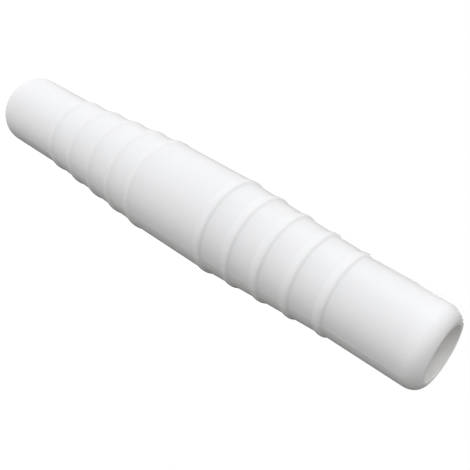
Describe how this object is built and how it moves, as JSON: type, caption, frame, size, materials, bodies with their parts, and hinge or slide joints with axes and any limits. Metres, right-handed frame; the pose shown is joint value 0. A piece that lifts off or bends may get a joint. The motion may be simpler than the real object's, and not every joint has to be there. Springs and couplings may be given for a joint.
{
  "type": "hose adapter",
  "caption": "Tapered blow-moulded plastic tube that joins pool hose cuffs: raised, stepped rings on both cones, plain ends with round shoulders and open mouths.",
  "frame": {"origin": "centre of the lower mouth, in the plane of the lip that the tube stands on", "axes": "+Z along the tube's axis, from the lower mouth to the upper mouth; X and Y are equal on a turned shape"},
  "size_m": [0.0442, 0.0442, 0.2454],
  "materials": {
    "white_plastic": "white polyethylene as it leaves a blow mould, with a soft gloss"
  },
  "bodies": {
    "root": {"adapter_tube": "white_plastic"}
  },
  "joints": []
}
